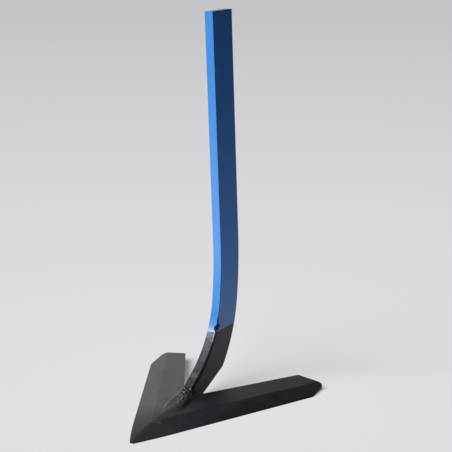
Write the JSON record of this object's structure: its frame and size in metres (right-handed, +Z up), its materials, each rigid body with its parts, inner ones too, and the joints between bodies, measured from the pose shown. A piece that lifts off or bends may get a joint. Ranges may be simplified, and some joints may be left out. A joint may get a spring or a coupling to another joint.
{
  "type": "weeder knife",
  "caption": "V-shaped weeder knife: a swept hoe blade with bevelled wings, welded to a bent flat-bar shank that clamps in an implement.",
  "frame": {"origin": "on the ground, at the middle of the blade's length and width", "axes": "+Z up along the shank, -Y towards the nose (line of travel), X across the cutting width"},
  "size_m": [0.21, 0.2234, 0.4126],
  "materials": {
    "blade_paint": "satin black paint on forged steel",
    "shank_paint": "blue enamel on rolled flat bar, black below the dip line",
    "weld_paint": "black paint over rough weld metal"
  },
  "bodies": {
    "root": {"blade": "blade_paint", "shank": "shank_paint", "weld_bead": "weld_paint"}
  },
  "joints": []
}
